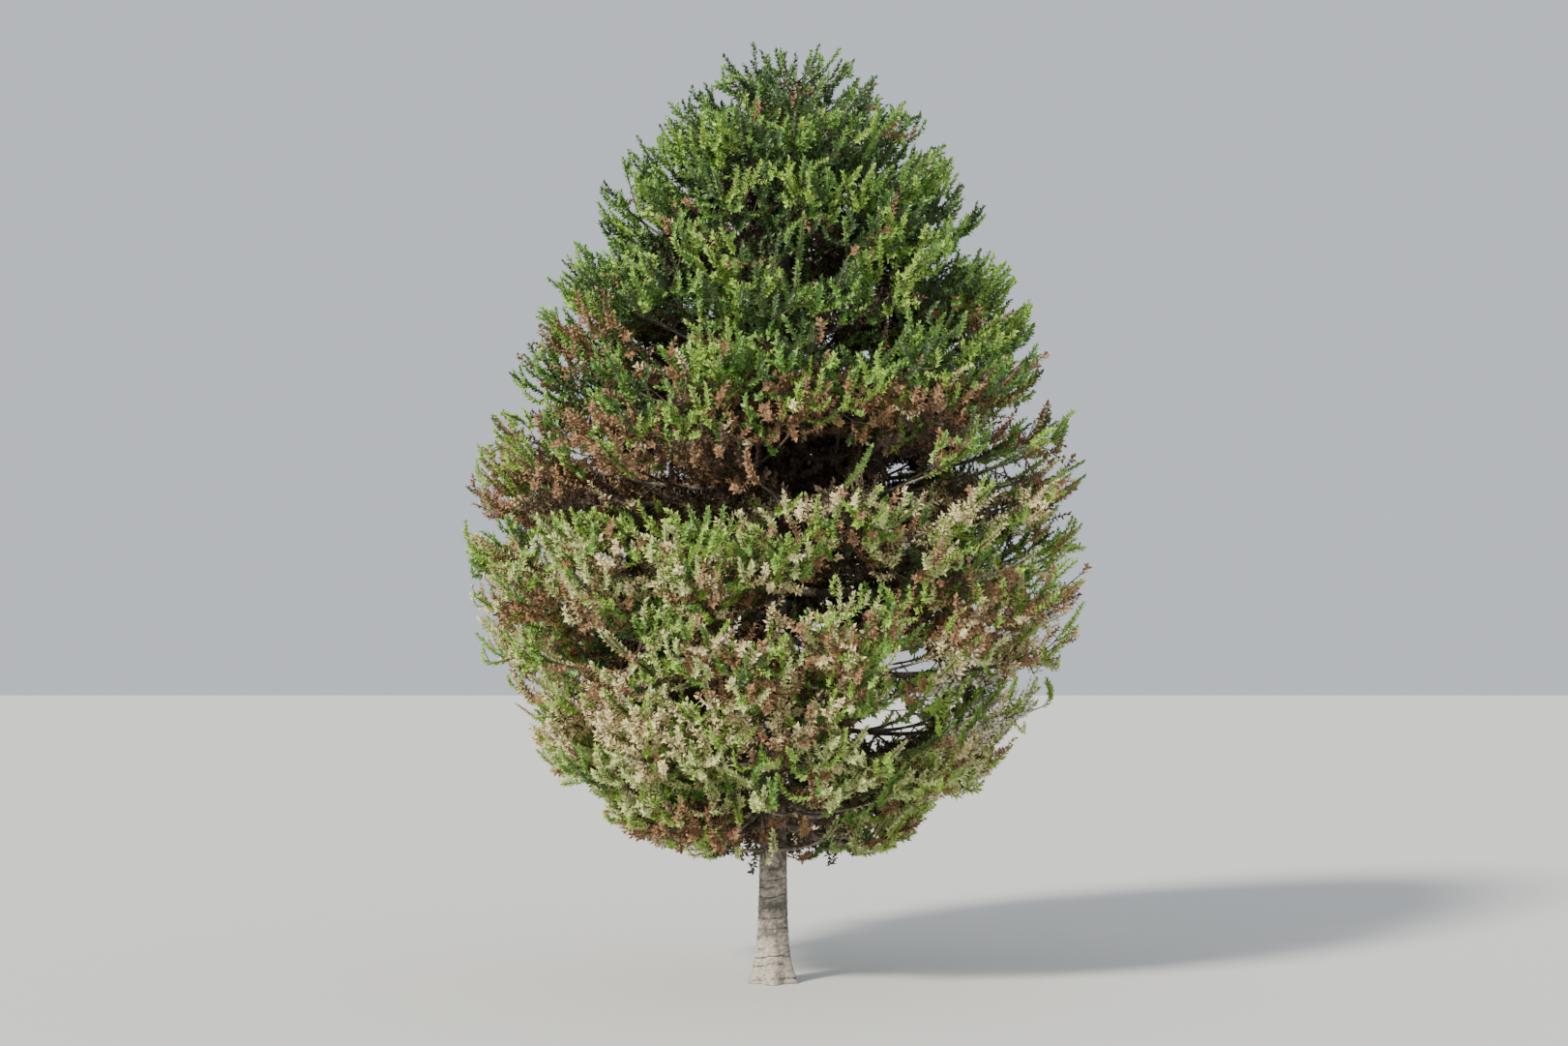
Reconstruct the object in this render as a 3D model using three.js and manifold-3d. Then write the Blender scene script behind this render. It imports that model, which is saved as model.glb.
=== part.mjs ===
import * as THREE from "three";
import { mergeVertices } from "three/addons/utils/BufferGeometryUtils.js";
import Module from "manifold-3d";

// A monkey puzzle tree in millimetres, +Z up. The origin is the middle of the flat cut at ground level.
// One straight trunk carries whorls of boughs. Each bough ends in a mass of foliage: a stem that forks
// once to each side, clothed with ropes of stiff leaves that turn up at their ends.

// The whole tree
const TREE_HEIGHT = 10000;
const CROWN_RADIUS = 3370; // at its widest
const WIDEST_HEIGHT = 5100;
const CROWN_FOOT = 1200; // where the outline of the crown would close below
const LEAN = 230; // how far the top stands to +X of the foot

// The trunk
const TRUNK_TIP = 8500; // where it enters the top mass
const TRUNK_RADIUS = 165; // above the root flare
const TRUNK_TIP_RADIUS = 46;
const FLARE_RADIUS = 90; // added at the ground
const FLARE_HEIGHT = 260; // in which the flare fades to about a third
const FLARE_LOBES = 5;
const FLARE_LOBE_DEPTH = 0.16;
const TRUNK_SIDES = 12;
const TRUNK_RINGS = 11;

// The whorls of limbs
const WHORLS = 8;
const FIRST_WHORL = 1750;
const LAST_WHORL = 7450;
const WHORLS_WITH_BOUGHS = 4; // the lower ones, whose limbs are bare near the trunk
const BARE_SHARE = 0.4; // of such a limb
const WHORL_TURN = 0.62; // radians from one whorl to the next
const LOW_RISE = -150; // of a limb from the trunk to its tip, in the first whorl
const HIGH_RISE = 850; // and in the last
const LOW_SAG = 190; // below the straight line, at mid length
const HIGH_SAG = 110;
const LIMB_RADIUS = 46;
const LIMB_SIDES = 5;

// The foliage
const ROPE_LENGTH = 850;
const ROPE_RADIUS = 115;
const ROPE_ROOT_RADIUS = 8;
const ROPE_SIDES = 3;
const TIP_ROPE_LENGTH = 600; // the rope that ends a stem
const LAST_ROPE = 0.8; // share of a stem up to which it has ropes
const STEM_TIP_RADIUS = 24; // where a stem turns into a rope
const STEM_SIDES = 4;
const TWIG_SIDES = 3;
const STEM_ROPES = 5; // along the stem of a mass
const FORK_ROPES = 3; // and along each of its forks
const FORK_RADIUS = 29;
const FORK_REACH = 0.6; // of half the sector of a mass
const FORK_LIFT = 70; // of the higher of the two forks, halved
const FIRST_FORK = 0.22; // share of a limb where it may fork
const UNDER_LIMB = 230; // the space of a mass below its limb
const CELL_GAP = 12; // between the spaces of two masses

// The top mass
const TOP_DROP = 120; // its space starts this far below the trunk's tip
const TOP_SLOPE = 0.45; // and rises outwards
const TOP_STEM_HEIGHT = 1180;
const TOP_ARMS = 5; // in each of the small whorls of the top mass
const TOP_TIERS = [
  // where they leave the stem, the height of their tips, and the ropes on each arm
  { share: 0.08, top: 9230, ropes: 2 },
  { share: 0.36, top: 9600, ropes: 1 },
  { share: 0.64, top: 9860, ropes: 1 },
  { share: 0.88, top: TREE_HEIGHT, ropes: 0 },
];
const TOP_ARM_STEP = 0.018; // of the stem, from one arm of a whorl to the next
const TOP_ARM_RADIUS = 17;
const TUFT_REACH = 330;

const CLEARANCE = 0.4; // between two pieces that meet
const FINEST = 1.5; // smaller detail than this, left where solids cross, is smoothed away
const UP = new THREE.Vector3(0, 0, 1);
const mix = THREE.MathUtils.lerp;

const wasm = await Module();
wasm.setup();

const bark = new THREE.MeshStandardMaterial({ color: 0x8b8378, roughness: 0.95, metalness: 0 });
const limbBark = new THREE.MeshStandardMaterial({ color: 0x6f5f50, roughness: 0.95, metalness: 0 });
const needles = new THREE.MeshStandardMaterial({ color: 0x4c6430, roughness: 0.6, metalness: 0 });
const dryNeedles = new THREE.MeshStandardMaterial({ color: 0x77704a, roughness: 0.7, metalness: 0 });

// A small seeded generator, so that the same tree grows every time.
function seeded(seed) {
  let state = seed;
  const next = () => {
    state = (state * 16807) % 2147483647;
    return state / 2147483647;
  };
  next();
  next();
  return next;
}

// The radius of the whole crown at a height: a parabola above its widest, an ellipse below it.
function outlineRadius(height) {
  if (height < WIDEST_HEIGHT) {
    const below = (WIDEST_HEIGHT - height) / (WIDEST_HEIGHT - CROWN_FOOT);
    return CROWN_RADIUS * Math.sqrt(Math.max(0, 1 - below * below));
  }
  const above = (height - WIDEST_HEIGHT) / (TREE_HEIGHT - WIDEST_HEIGHT);
  return CROWN_RADIUS * Math.sqrt(Math.max(0, 1 - above));
}

// The middle of the trunk at a height. It stands upright at the foot and leans more further up.
function trunkMiddle(height) {
  const share = height / TREE_HEIGHT;
  return new THREE.Vector3(LEAN * share * share, 0, height);
}

// The limb of a whorl, from the middle of the trunk to its tip.
class LimbCurve extends THREE.Curve {
  constructor(whorl, azimuth) {
    super();
    this.whorl = whorl;
    this.azimuth = azimuth;
    this.root = trunkMiddle(whorl.height);
  }

  getPoint(u, target = new THREE.Vector3()) {
    const out = this.whorl.reach * u;
    target.set(Math.cos(this.azimuth) * out, Math.sin(this.azimuth) * out, limbHeight(this.whorl, u));
    return target.add(this.root);
  }
}

// A stretch of another curve, from one share of its length to another.
class Stretch extends THREE.Curve {
  constructor(whole, from, to) {
    super();
    Object.assign(this, { whole, from, to });
  }

  getPoint(u, target = new THREE.Vector3()) {
    return this.whole.getPoint(mix(this.from, this.to, u), target);
  }
}

// Straight stretches between a few points of another curve, at the given shares of its length.
class Chain extends THREE.Curve {
  constructor(whole, shares) {
    super();
    Object.assign(this, { whole, shares });
    this.points = shares.map((share) => whole.getPoint(share));
  }

  getPoint(u, target = new THREE.Vector3()) {
    const after = this.shares.findIndex((share) => share > u);
    const i = after > 0 ? after - 1 : this.shares.length - 2;
    const [from, to] = [this.shares[i], this.shares[i + 1]];
    return target.lerpVectors(this.points[i], this.points[i + 1], (u - from) / (to - from));
  }

  getTangent(u, target) {
    return this.whole.getTangent(u, target);
  }
}

// The height of a limb above its root, at a share u of its reach.
function limbHeight(whorl, u) {
  return whorl.rise * u - 4 * whorl.sag * u * (1 - u);
}

function makeWhorl(index) {
  const share = index / (WHORLS - 1);
  const height = mix(FIRST_WHORL, LAST_WHORL, share);
  const rise = mix(LOW_RISE, HIGH_RISE, share);
  return {
    index,
    height,
    rise,
    sag: mix(LOW_SAG, HIGH_SAG, share),
    reach: outlineRadius(height + rise),
    limbs: index === 0 || index === WHORLS - 1 ? 4 : 5,
    turn: index * WHORL_TURN,
  };
}

// The lowest height that the masses of a whorl may use, at a distance from the trunk's middle.
function spaceFloor(whorl, out) {
  return whorl.height + limbHeight(whorl, out / whorl.reach) - UNDER_LIMB;
}

// The lowest height that the top mass may use.
function topFloor(out) {
  return TRUNK_TIP - TOP_DROP + TOP_SLOPE * out;
}

// Right-handed side, along and up directions of a curve at u.
function directionsAt(curve, u) {
  const along = curve.getTangent(u);
  const side = new THREE.Vector3().crossVectors(along, UP);
  if (side.length() < 0.05) {
    side.set(1, 0, 0);
  }
  side.normalize();
  return { along, side, up: new THREE.Vector3().crossVectors(side, along) };
}

// Bends a shape that stands along +Y from 0 to 1 so that it follows the curve.
function bend(geometry, curve) {
  const place = geometry.getAttribute("position");
  for (let i = 0; i < place.count; i++) {
    const u = place.getY(i);
    const { side, up } = directionsAt(curve, u);
    const point = curve.getPoint(u);
    point.addScaledVector(side, place.getX(i)).addScaledVector(up, place.getZ(i));
    place.setXYZ(i, point.x, point.y, point.z);
  }
  return geometry;
}

function toSolid(geometry) {
  const bare = new THREE.BufferGeometry();
  bare.setAttribute("position", geometry.getAttribute("position"));
  bare.setIndex(geometry.getIndex());
  const merged = mergeVertices(bare, 1e-2);
  const corners = merged.index.array;
  const kept = [];
  for (let i = 0; i < corners.length; i += 3) {
    const [a, b, c] = [corners[i], corners[i + 1], corners[i + 2]];
    if (a !== b && b !== c && a !== c) {
      kept.push(a, b, c);
    }
  }
  const vertProperties = merged.getAttribute("position").array;
  return new wasm.Manifold(new wasm.Mesh({ numProp: 3, vertProperties, triVerts: new Uint32Array(kept) }));
}

function toGeometry(solid, origin) {
  const mesh = solid.getMesh();
  const geometry = new THREE.BufferGeometry();
  const places = new Float32Array(mesh.numVert * 3);
  for (let i = 0; i < mesh.numVert; i++) {
    places.set(mesh.vertProperties.subarray(i * mesh.numProp, i * mesh.numProp + 3), i * 3);
  }
  geometry.setAttribute("position", new THREE.BufferAttribute(places, 3));
  geometry.setIndex(new THREE.BufferAttribute(mesh.triVerts, 1));
  geometry.translate(-origin.x, -origin.y, -origin.z);
  geometry.computeVertexNormals();
  return geometry;
}

// A closed round body along a curve. The profile is [share of the length, radius] from root to tip.
// A section of four sides stands with its flat faces to the sides, where the ropes leave.
function bodyAlong(curve, profile, sides) {
  const outline = [
    new THREE.Vector2(0, profile[0][0]),
    ...profile.map(([share, radius]) => new THREE.Vector2(radius, share)),
  ];
  const [lastShare, lastRadius] = profile[profile.length - 1];
  if (lastRadius > 0) {
    outline.push(new THREE.Vector2(0, lastShare));
  }
  const turned = sides === 4 ? Math.PI / 4 : 0;
  return toSolid(bend(new THREE.LatheGeometry(outline, sides, turned), curve));
}

function taper(rootRadius, tipRadius, rings) {
  return Array.from({ length: rings + 1 }, (_, i) => [i / rings, mix(rootRadius, tipRadius, i / rings)]);
}

// A stem that tapers and then ends in a rope of its own, with a step like a ring of teeth.
function makeStem(whole, rootRadius, sides) {
  const bare = Math.max(0.2, 1 - TIP_ROPE_LENGTH / whole.getLength());
  const profile = [
    [0, rootRadius],
    [bare / 2, mix(rootRadius, STEM_TIP_RADIUS, 0.5)],
    [bare, STEM_TIP_RADIUS],
    [mix(bare, 1, 0.4), ROPE_RADIUS * 0.95],
    [mix(bare, 1, 0.46), ROPE_RADIUS * 0.6],
    [1, 0],
  ];
  const curve = new Chain(
    whole,
    profile.map(([share]) => share),
  );
  return { curve, solid: bodyAlong(curve, profile, sides) };
}

function trunkRadius(height) {
  const stem = mix(TRUNK_RADIUS, TRUNK_TIP_RADIUS, (height / TRUNK_TIP) ** 1.15);
  return stem + FLARE_RADIUS * Math.exp(-height / FLARE_HEIGHT);
}

function makeTrunk(grown) {
  const profile = [new THREE.Vector2(0, 0)];
  for (let i = 0; i <= TRUNK_RINGS; i++) {
    const height = TRUNK_TIP * (i / TRUNK_RINGS) ** 1.9;
    profile.push(new THREE.Vector2(trunkRadius(height), height));
  }
  profile.push(new THREE.Vector2(0, TRUNK_TIP));
  const geometry = new THREE.LatheGeometry(profile, TRUNK_SIDES);
  const place = geometry.getAttribute("position");
  for (let i = 0; i < place.count; i++) {
    const height = place.getY(i);
    const radius = Math.hypot(place.getX(i), place.getZ(i));
    const angle = Math.atan2(place.getX(i), place.getZ(i));
    const lobe = FLARE_LOBE_DEPTH * Math.exp(-height / FLARE_HEIGHT) * Math.cos(FLARE_LOBES * angle);
    const wide = radius > 0 ? radius * (1 + lobe) + grown : 0;
    const middle = trunkMiddle(height);
    place.setXYZ(i, middle.x + wide * Math.sin(angle), middle.y - wide * Math.cos(angle), height);
  }
  return toSolid(geometry);
}

const trunk = makeTrunk(0);
const trunkKeepOut = makeTrunk(CLEARANCE);

// The space that a mass keeps to: a sector round the trunk, between the floors of two whorls.
function makeSpace(whorl, azimuth, nextFloor) {
  return {
    holds(point) {
      const middle = trunkMiddle(point.z);
      const out = Math.hypot(point.x - middle.x, point.y - middle.y);
      const turned = Math.atan2(point.y - middle.y, point.x - middle.x) - azimuth;
      const off = Math.abs(Math.atan2(Math.sin(turned), Math.cos(turned)));
      const room = Math.sin(Math.min(Math.PI / 2, Math.PI / whorl.limbs - off)) * out;
      return (
        room > CELL_GAP / 2 &&
        out > trunkRadius(point.z) + CELL_GAP / 2 &&
        point.z > spaceFloor(whorl, out) + CELL_GAP / 2 &&
        point.z < nextFloor(out) - CELL_GAP / 2
      );
    },
  };
}

// One rope of leaves from a point on a stem: it leaves low and turns up towards its end.
function ropeCurve(stem, u, spread, pitch, length) {
  const { along, side } = directionsAt(stem, u);
  const flat = along.clone().setZ(along.z * 0.6).normalize();
  const heading = flat.multiplyScalar(Math.cos(spread)).addScaledVector(side, Math.sin(spread));
  const start = stem.getPoint(u);
  const middle = start.clone().addScaledVector(heading, length * 0.5 * Math.cos(pitch));
  middle.z += length * 0.5 * Math.sin(pitch);
  const end = start.clone().addScaledVector(heading, length * 0.8 * Math.cos(pitch));
  end.z += length * (0.34 + 0.55 * Math.sin(pitch));
  return new THREE.QuadraticBezierCurve3(start, middle, end);
}

// Its outline: thin at the root, widest where the leaves stand out, then a point.
function makeRope(curve, length) {
  const radius = ROPE_RADIUS * Math.sqrt(length / ROPE_LENGTH);
  const profile = [
    [0, ROPE_ROOT_RADIUS],
    [0.5, radius],
    [1, 0],
  ];
  return bodyAlong(curve, profile, ROPE_SIDES);
}

function cornersOf(solid) {
  const { numVert, numProp, vertProperties } = solid.getMesh();
  return Array.from({ length: numVert }, (_, i) => {
    return new THREE.Vector3(...vertProperties.subarray(i * numProp, i * numProp + 3));
  });
}

// Ropes to both sides of a stem in turn, two low ones and then two steep ones.
function growRopes(stem, from, count, size, random, space, solids) {
  for (let i = 0; i < count; i++) {
    const u = mix(from, LAST_ROPE, (i + 0.5) / count);
    const turn = i % 2 ? 1 : -1;
    const spread = turn * (mix(1.15, 0.6, u) + 0.3 * (random() - 0.5));
    const pitch = (i % 4 < 2 ? 0.15 : 0.7) + 0.25 * (random() - 0.5);
    const length = size * mix(1.05, 0.8, u) * (0.88 + 0.24 * random());
    const rope = makeRope(ropeCurve(stem.curve, u, spread, pitch, length), length);
    const inside = cornersOf(rope).every((corner) => space.holds(corner));
    if (inside && solids.every((other) => other === stem.solid || rope.intersect(other).isEmpty())) {
      solids.push(rope);
    }
  }
}

// Fuses solids clear of the trunk. Hollows that this seals are filled and loose scrap is dropped.
function fuse(solids) {
  const parts = wasm.Manifold.union(solids).subtract(trunkKeepOut).simplify(FINEST).decompose();
  return parts.reduce((largest, part) => (part.volume() > largest.volume() ? part : largest));
}

// The side limb of a mass, which leaves the stem early and ends beside its tip.
function forkCurve(limb, from, whorl, turn) {
  const swing = turn * FORK_REACH * (Math.PI / whorl.limbs);
  const lift = FORK_LIFT * (1 + turn);
  // share of the limb, share of the full swing to the side, height above the limb
  const places = [
    [mix(from, 1, 0.14), 0, 0],
    [mix(from, 1, 0.4), 0.6, -20],
    [0.74, 1.05, lift / 2],
    [0.97, 1, lift],
  ];
  const points = places.map(([u, share, height]) => {
    const point = limb.getPoint(u).sub(limb.root).applyAxisAngle(UP, swing * share).add(limb.root);
    return point.setZ(point.z + height);
  });
  return new THREE.CubicBezierCurve3(...points);
}

function growMass(whorl, limb, from, space, random) {
  const stem = makeStem(new Stretch(limb, from, 1), mix(LIMB_RADIUS, STEM_TIP_RADIUS, from), STEM_SIDES);
  const forks = [-1, 1].map((turn) => {
    return makeStem(forkCurve(limb, Math.max(from, FIRST_FORK), whorl, turn), FORK_RADIUS, TWIG_SIDES);
  });
  const solids = [stem.solid, ...forks.map((fork) => fork.solid)];
  const leafy = from > 0 ? 0.12 : 0.36;
  growRopes(stem, leafy, STEM_ROPES, ROPE_LENGTH, random, space, solids);
  forks.forEach((fork) => growRopes(fork, 0.3, FORK_ROPES, ROPE_LENGTH * 0.9, random, space, solids));
  return fuse(solids);
}

// The top mass goes on from the trunk's tip: small whorls of arms round a stem, the last one upright.
function growTop(random) {
  const foot = trunkMiddle(TRUNK_TIP + CLEARANCE);
  const stem = new THREE.LineCurve3(foot, trunkMiddle(TRUNK_TIP + TOP_STEM_HEIGHT));
  const solids = [bodyAlong(stem, taper(TRUNK_TIP_RADIUS, STEM_TIP_RADIUS, 2), LIMB_SIDES)];
  const space = { holds: (point) => point.z > topFloor(Math.hypot(point.x - foot.x, point.y)) };
  TOP_TIERS.forEach(({ share, top, ropes }, tier) => {
    const reach = Math.max(TUFT_REACH, outlineRadius(top));
    for (let i = 0; i < TOP_ARMS; i++) {
      const azimuth = ((i + tier / 2) / TOP_ARMS) * 2 * Math.PI + 0.3 * (random() - 0.5);
      const start = stem.getPoint(share + i * TOP_ARM_STEP);
      const outward = new THREE.Vector3(Math.cos(azimuth), Math.sin(azimuth), 0);
      const rise = top - start.z - 40 * (i % 3);
      const middle = start.clone().addScaledVector(outward, reach * 0.7);
      middle.z += rise * 0.25;
      const end = start.clone().addScaledVector(outward, reach);
      end.z += rise;
      const arm = makeStem(new THREE.QuadraticBezierCurve3(start, middle, end), TOP_ARM_RADIUS, TWIG_SIDES);
      solids.push(arm.solid);
      growRopes(arm, 0.3, ropes, ROPE_LENGTH * 0.7, random, space, solids);
    }
  });
  return fuse(solids);
}

const tree = new THREE.Group();

function addPiece(group, name, solid, material) {
  const mesh = new THREE.Mesh(toGeometry(solid, group.position), material);
  mesh.name = name;
  group.add(mesh);
}

addPiece(tree, "trunk", trunk, bark);

const whorls = Array.from({ length: WHORLS }, (_, index) => makeWhorl(index));
whorls.forEach((whorl, index) => {
  const group = new THREE.Group();
  group.position.copy(trunkMiddle(whorl.height));
  tree.add(group);
  const nextFloor = index + 1 < WHORLS ? (out) => spaceFloor(whorls[index + 1], out) : topFloor;
  for (let i = 0; i < whorl.limbs; i++) {
    const random = seeded(1000 + index * 100 + i * 7);
    const azimuth = whorl.turn + (i / whorl.limbs) * 2 * Math.PI;
    const limb = new LimbCurve(whorl, azimuth);
    const space = makeSpace(whorl, azimuth, nextFloor);
    const label = `${index + 1}_${i + 1}`;
    let from = 0;
    if (index < WHORLS_WITH_BOUGHS) {
      const bough = bodyAlong(
        new Stretch(limb, 0, BARE_SHARE),
        taper(LIMB_RADIUS * 1.2, mix(LIMB_RADIUS, STEM_TIP_RADIUS, BARE_SHARE), 3),
        LIMB_SIDES,
      );
      addPiece(group, `bough_${label}`, bough.subtract(trunkKeepOut), limbBark);
      from = BARE_SHARE + CLEARANCE / limb.getLength();
    }
    const mass = growMass(whorl, limb, from, space, random);
    addPiece(group, `foliage_${label}`, mass, index < 3 ? dryNeedles : needles);
  }
});

addPiece(tree, "foliage_top", growTop(seeded(77)), needles);

export default tree;
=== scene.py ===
"""The looks of a monkey puzzle tree, built round its plain solids. Metres, +Z up, the foot at the origin.

The crown grows by the same seeded rule as the solids: limbs in whorls, a fork to each side, and ropes of
leaves that turn up at their ends. Here the rule goes on to finer ropes, and leaves stand round every rope.
"""

import functools
import math
from typing import NamedTuple

import bpy
import numpy as np
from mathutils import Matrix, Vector, noise


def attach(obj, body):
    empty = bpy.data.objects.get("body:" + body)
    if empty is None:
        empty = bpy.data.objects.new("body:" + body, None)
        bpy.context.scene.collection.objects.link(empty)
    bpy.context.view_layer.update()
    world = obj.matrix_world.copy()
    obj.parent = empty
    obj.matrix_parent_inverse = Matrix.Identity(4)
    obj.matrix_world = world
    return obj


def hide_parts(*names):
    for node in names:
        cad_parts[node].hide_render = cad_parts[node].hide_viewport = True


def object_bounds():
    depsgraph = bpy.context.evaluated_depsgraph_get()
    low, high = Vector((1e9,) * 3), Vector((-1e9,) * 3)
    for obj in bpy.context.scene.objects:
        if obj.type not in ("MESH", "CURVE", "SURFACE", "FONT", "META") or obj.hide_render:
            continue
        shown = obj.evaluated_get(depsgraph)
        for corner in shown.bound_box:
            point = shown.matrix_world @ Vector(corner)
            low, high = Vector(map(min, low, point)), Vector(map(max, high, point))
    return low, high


bl_info = {
    "name": "Monkey Puzzle Tree",
    "version": (1, 0, 0),
    "blender": (4, 5, 0),
    "location": "View3D > Sidebar > Tree",
    "description": "Grows bark, limbs, twigs and leaves round the solids of a monkey puzzle tree",
    "category": "Object",
}

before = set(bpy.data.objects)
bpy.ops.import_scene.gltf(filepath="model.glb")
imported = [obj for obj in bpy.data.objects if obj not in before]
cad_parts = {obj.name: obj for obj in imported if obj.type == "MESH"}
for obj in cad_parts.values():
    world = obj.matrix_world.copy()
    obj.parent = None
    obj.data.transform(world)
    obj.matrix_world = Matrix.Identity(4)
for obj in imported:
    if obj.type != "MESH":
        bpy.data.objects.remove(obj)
CAD_BOX = [[float(value) for value in corner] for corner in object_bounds()]
TREE_HEIGHT = CAD_BOX[1][2]

# The crown's outline and the trunk, as in the solids
CROWN_RADIUS = 3.37
WIDEST_HEIGHT = 5.1
CROWN_FOOT = 1.2
LEAN = 0.23
TRUNK_TIP = 8.5
TRUNK_RADIUS = 0.165
TRUNK_TIP_RADIUS = 0.046
TRUNK_TAPER = 1.15
FLARE_RADIUS = 0.09
FLARE_HEIGHT = 0.26
FLARE_LOBES = 5
FLARE_LOBE_DEPTH = 0.16

# The whorls of limbs, as in the solids
WHORLS = 8
FIRST_WHORL = 1.75
LAST_WHORL = 7.45
WHORLS_WITH_BOUGHS = 4
BARE_SHARE = 0.4
WHORL_TURN = 0.62
LOW_RISE = -0.15
HIGH_RISE = 0.85
LOW_SAG = 0.19
HIGH_SAG = 0.11
LIMB_RADIUS = 0.046
STEM_TIP_RADIUS = 0.024
FORK_REACH = 0.6
FORK_LIFT = 0.07
FIRST_FORK = 0.22

# The ropes of leaves, as in the solids
ROPE_LENGTH = 0.85
FORK_ROPE_LENGTH = ROPE_LENGTH * 0.9
TOP_ROPE_LENGTH = ROPE_LENGTH * 0.7
ROPE_RISE = 0.34
LAST_ROPE = 0.8
STEM_ROPES = 5
FORK_ROPES = 3
FIRST_STEM_ROPE = 0.36
FIRST_ROPE_PAST_BOUGH = 0.12
FIRST_FORK_ROPE = 0.3
TOP_STEM_HEIGHT = 1.18
TOP_ARMS = 5
TOP_ARM_STEP = 0.018
TUFT_REACH = 0.33
TOP_TIERS = ((0.08, 9.23, 2), (0.36, 9.6, 1), (0.64, 9.86, 1), (0.88, TREE_HEIGHT, 0))

# Seeds: the solids' own, and those of what grows only here
MASS_SEED = 1000
TOP_SEED = 77
BETWEEN_SEED = 3000
FINER_SEED = 50000  # added to a mass's own
NOTCH_SEED = 21
HOLE_SEED = 33
TOP_HOLE_SEED = 17

# How far the foliage reaches
OUTLINE_SLACK = 0.12
WIDEST_ROPE = 3.36
TOP_SLACK = 0.03
LOWEST_ROPE = 1.35
TRUNK_GAP = 0.07
INNER_BARE = 0.2  # of the crown's radius, with no live rope inside it
NOTCH = 0.4  # how far the outline falls back between two pads of foliage
NOTCH_SIZE = 0.75
HOLE = -0.85  # where the slow random field is lower, the crown has a hole
HOLE_SIZE = 0.42
TOP_HOLE = -0.1  # the same for the smaller holes near the top
TOP_HOLE_SIZE = 0.22
TOP_HOLES_GROW = (8.6, 9.6)

# Wood inside the foliage
LIMB_TIP_RADIUS = 0.008
FORK_WOOD_RADIUS = 0.0232
TOP_WOOD_TIP_RADIUS = 0.012
BOUGH_FOOT_RADIUS = LIMB_RADIUS * 1.2
TIP_LIFT = 0.12  # how far a limb's last quarter turns up
# Limbs between two whorls, with sag and thickness against those of a whorl
LIMBS_BETWEEN = 8
SAG_BETWEEN = 1.7
THIN_BETWEEN = 0.8
SCATTER = 0.8  # of their heights, against the step between whorls

# Finer ropes
DRIFT = 0.55  # of a hooked rope's length, how far it strays
FINE_GAP = 0.14  # along a rope, from one finer rope to the next
FINE_SHARE = 0.46  # of a rope's length, for the ropes on it
FINE_SHORTEST = 0.26
FINE_FROM = 0.1  # of a rope, where the ropes on it begin
# The shares of their lengths from which limbs and ropes have leaves
STEM_LEAFY_FROM = 0.55  # counted from a limb's first rope
CARRIER_LEAFY_FROM = 0.6  # a rope that carries finer ones
FINE_LEAFY_FROM = 0.04
DEAD_LEAFY_FROM = 0.1
TUFT_FROM = 0.76
TUFT_ROPES = 8
TUFT_LENGTH = 0.36
FILL_FROM = 0.14
FILL_FROM_PAST_BOUGH = 0.02
FILL_GAP = 0.2  # along a limb, from one rope to the next
FILL_GAP_BETWEEN = 0.13  # the same on the limbs between two whorls
FILL_LENGTH = 0.55
TOP_FILL = 30
TOP_FILL_ROPES = 4
TOP_FILL_HEIGHTS = (8.9, TREE_HEIGHT - 0.06)
# Where the top's arms bend up, as shares of their reach and rise
TOP_BEND = (0.7, 0.25)
TOP_FILL_BEND = (0.75, 0.2)

# Dead ropes under the limbs, and more of them in the dark band across the crown. They take the dark umber,
# partly dead leaves and partly painted shade; in the band they are a dark fill where the crown lies in
# shadow.
HANGING_FROM = 0.08
HANGING_ROPES = 10
HANGING_LENGTH = 0.5
BAND_WHORLS = (3.8, 6.2)
BAND_FROM = 0.1
BAND_ROPES = 70
BAND_LENGTH = 0.7
BAND_HEIGHTS = (4.9, 6.1)
DEAD_EDGE = 0.25  # how far inside the outline they end

# Openings in the crown, as seen from the front: middle across and up, half width and half height
SKY_GAPS = (
    (2.5, 5.5, 0.42, 0.1),
    (1.35, 5.5, 0.2, 0.06),
    (0.5, 5.7, 0.2, 0.08),
    (2.4, 5.06, 0.16, 0.06),
    (2.65, 4.5, 0.3, 0.07),
    (1.22, 2.7, 0.44, 0.19),
    (1.45, 3.42, 0.3, 0.12),
    (2.8, 2.5, 0.3, 0.25),
    (-2.75, 2.9, 0.3, 0.14),
)
# The same for hollows that only go in as far as the dark middle of the crown
HOLLOWS = (
    (0.6, 5.4, 1.3, 0.22),
    (2.3, 5.4, 0.9, 0.1),
    (-1.3, 5.25, 0.9, 0.12),
    (0.4, 7.5, 0.35, 0.16),
    (-1.1, 6.9, 0.4, 0.12),
    (0.9, 6.75, 0.5, 0.12),
    (0.3, 1.75, 0.8, 0.25),
    (-1.8, 3.6, 0.5, 0.12),
)
HOLLOW_DEPTH = 0.7  # how far in front of the trunk they end
GAP_EDGE = 1.1  # how ragged all their edges are

# Where most sprays on the front are dead: the same four numbers and their kind
DEAD_PATCHES = (
    (-1.6, 5.35, 1.4, 0.4, "rust"),
    (1.5, 6.0, 1.3, 0.3, "rust"),
    (-1.9, 6.9, 0.6, 0.16, "rust"),
    (2.0, 7.0, 0.6, 0.16, "rust"),
    (1.9, 4.95, 1.0, 0.25, "straw"),
    (0.1, 4.95, 0.9, 0.14, "straw"),
    (0.1, 4.15, 0.25, 0.28, "straw"),
    (-2.4, 3.85, 1.2, 0.3, "rust"),
    (2.1, 3.9, 0.9, 0.5, "rust"),
    (-1.6, 2.75, 1.7, 0.38, "straw"),
    (2.2, 3.0, 0.9, 0.5, "grey"),
    (-0.6, 1.7, 1.4, 0.27, "rust"),
)
PATCH_EDGE = 0.9
PATCH_LOSS = 1.1  # how far a rope's own draw may keep it out of a patch

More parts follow.
